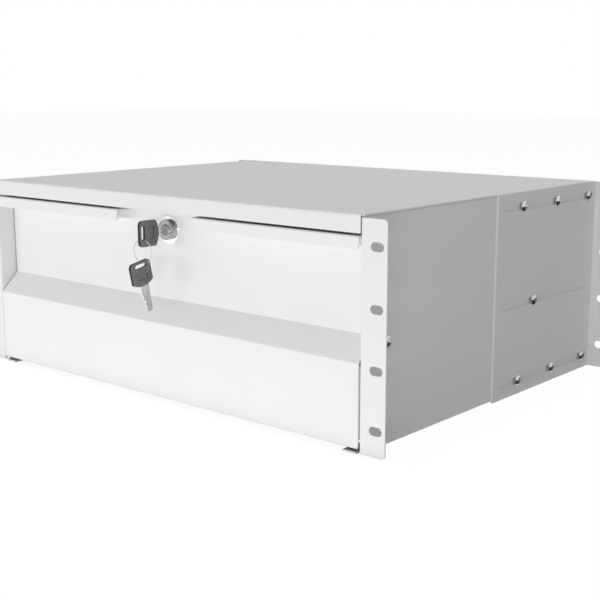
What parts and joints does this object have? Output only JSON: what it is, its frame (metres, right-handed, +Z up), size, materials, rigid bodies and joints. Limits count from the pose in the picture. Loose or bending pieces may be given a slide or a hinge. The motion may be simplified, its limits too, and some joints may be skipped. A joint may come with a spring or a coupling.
{
  "type": "sliding rack drawer",
  "caption": "Lockable steel drawer on telescopic ball-bearing slides, in a flat casing with front rack ears and adjustable rear rack brackets.",
  "frame": {"origin": "middle of the front rack slots, on the front face of the front ears", "axes": "+X to the right seen from the front, +Y towards the back of the rack, +Z up"},
  "size_m": [0.4826, 0.3824, 0.1765],
  "materials": {
    "casing_paint": "fine powder coat",
    "bracket_paint": "fine powder coat",
    "drawer_paint": "fine powder coat",
    "rail_zinc": "rolled, zinc plated",
    "cage_steel": "stamped",
    "ball_steel": "polished",
    "screw_nickel": "nickel plated",
    "nut_zinc": "zinc plated",
    "lock_chrome": "polished",
    "key_steel": "nickel plated",
    "key_cap": "moulded, dark grey",
    "ring_wire": "polished wire"
  },
  "bodies": {
    "casing": {"side_plate_left": "casing_paint", "side_plate_right": "casing_paint", "top_cover": "casing_paint", "rear_panel": "casing_paint", "rear_panel_screws": "screw_nickel", "lock_strike": "casing_paint", "slide_outer_rail_left": "rail_zinc", "slide_outer_rail_right": "rail_zinc", "slide_screws_left": "screw_nickel", "slide_screws_right": "screw_nickel", "bracket_screws_left": "screw_nickel", "bracket_screws_right": "screw_nickel", "bracket_nuts_left": "nut_zinc", "bracket_nuts_right": "nut_zinc"},
    "drawer": {"drawer_front": "drawer_paint", "drawer_tray": "drawer_paint", "slide_inner_rail_left": "rail_zinc", "slide_inner_rail_right": "rail_zinc", "rail_screws_left": "screw_nickel", "rail_screws_right": "screw_nickel", "front_studs": "nut_zinc", "stud_nuts": "nut_zinc", "lock_housing": "lock_chrome", "lock_ring": "lock_chrome", "lock_nut": "nut_zinc"},
    "lock_core": {"lock_plug": "lock_chrome", "lock_cam": "nut_zinc", "lock_cam_screw": "screw_nickel"},
    "key": {"key_blade": "key_steel", "key_bow": "key_cap"},
    "ring": {"key_ring": "ring_wire"},
    "spare_key": {"spare_key_blade": "key_steel", "spare_key_bow": "key_cap"},
    "middle_rail_left": {"slide_middle_rail_left": "rail_zinc"},
    "outer_cage_left": {"slide_outer_cage_left": "cage_steel", "slide_outer_balls_left": "ball_steel"},
    "inner_cage_left": {"slide_inner_cage_left": "cage_steel", "slide_inner_balls_left": "ball_steel"},
    "middle_rail_right": {"slide_middle_rail_right": "rail_zinc"},
    "outer_cage_right": {"slide_outer_cage_right": "cage_steel", "slide_outer_balls_right": "ball_steel"},
    "inner_cage_right": {"slide_inner_cage_right": "cage_steel", "slide_inner_balls_right": "ball_steel"},
    "rear_bracket_left": {"rear_bracket_left": "bracket_paint"},
    "rear_bracket_right": {"rear_bracket_right": "bracket_paint"}
  },
  "joints": [
    {"name": "drawer_slide", "type": "slide", "parent": "casing", "child": "drawer", "axis": [0, -1, 0], "range_m": [0, 0.3]},
    {"name": "middle_rail_left_travel", "type": "slide", "parent": "casing", "child": "middle_rail_left", "axis": [0, -1, 0], "range_m": [0, 0.15]},
    {"name": "outer_cage_left_travel", "type": "slide", "parent": "casing", "child": "outer_cage_left", "axis": [0, -1, 0], "range_m": [0, 0.075]},
    {"name": "inner_cage_left_travel", "type": "slide", "parent": "casing", "child": "inner_cage_left", "axis": [0, -1, 0], "range_m": [0, 0.225]},
    {"name": "middle_rail_right_travel", "type": "slide", "parent": "casing", "child": "middle_rail_right", "axis": [0, -1, 0], "range_m": [0, 0.15]},
    {"name": "outer_cage_right_travel", "type": "slide", "parent": "casing", "child": "outer_cage_right", "axis": [0, -1, 0], "range_m": [0, 0.075]},
    {"name": "inner_cage_right_travel", "type": "slide", "parent": "casing", "child": "inner_cage_right", "axis": [0, -1, 0], "range_m": [0, 0.225]},
    {"name": "lock_turn", "type": "hinge", "parent": "drawer", "child": "lock_core", "pos_m": [0.002, 0.013, 0.0579], "axis": [0, 1, 0], "range_deg": [0, 90]},
    {"name": "key_pull", "type": "slide", "parent": "lock_core", "child": "key", "axis": [0, -1, 0], "range_m": [0, 0.03]},
    {"name": "ring_swing", "type": "hinge", "parent": "key", "child": "ring", "pos_m": [0.002, -0.01215, 0.0487], "axis": [0, 1, 0], "range_deg": [-90, 0]},
    {"name": "spare_key_swing", "type": "hinge", "parent": "ring", "child": "spare_key", "pos_m": [0.002, -0.01215, 0.0328], "axis": [1, 0, 0], "range_deg": [-25, 15]},
    {"name": "rear_bracket_left_adjust", "type": "slide", "parent": "casing", "child": "rear_bracket_left", "axis": [0, 1, 0], "range_m": [-0.005, 0.027]},
    {"name": "rear_bracket_right_adjust", "type": "slide", "parent": "casing", "child": "rear_bracket_right", "axis": [0, 1, 0], "range_m": [-0.005, 0.027]}
  ],
  "couplings": [
    {"joint": "middle_rail_left_travel", "follows": "drawer_slide", "ratio": 0.5},
    {"joint": "outer_cage_left_travel", "follows": "drawer_slide", "ratio": 0.25},
    {"joint": "inner_cage_left_travel", "follows": "drawer_slide", "ratio": 0.75},
    {"joint": "middle_rail_right_travel", "follows": "drawer_slide", "ratio": 0.5},
    {"joint": "outer_cage_right_travel", "follows": "drawer_slide", "ratio": 0.25},
    {"joint": "inner_cage_right_travel", "follows": "drawer_slide", "ratio": 0.75},
    {"joint": "ring_swing", "follows": "lock_turn", "ratio": -1}
  ]
}
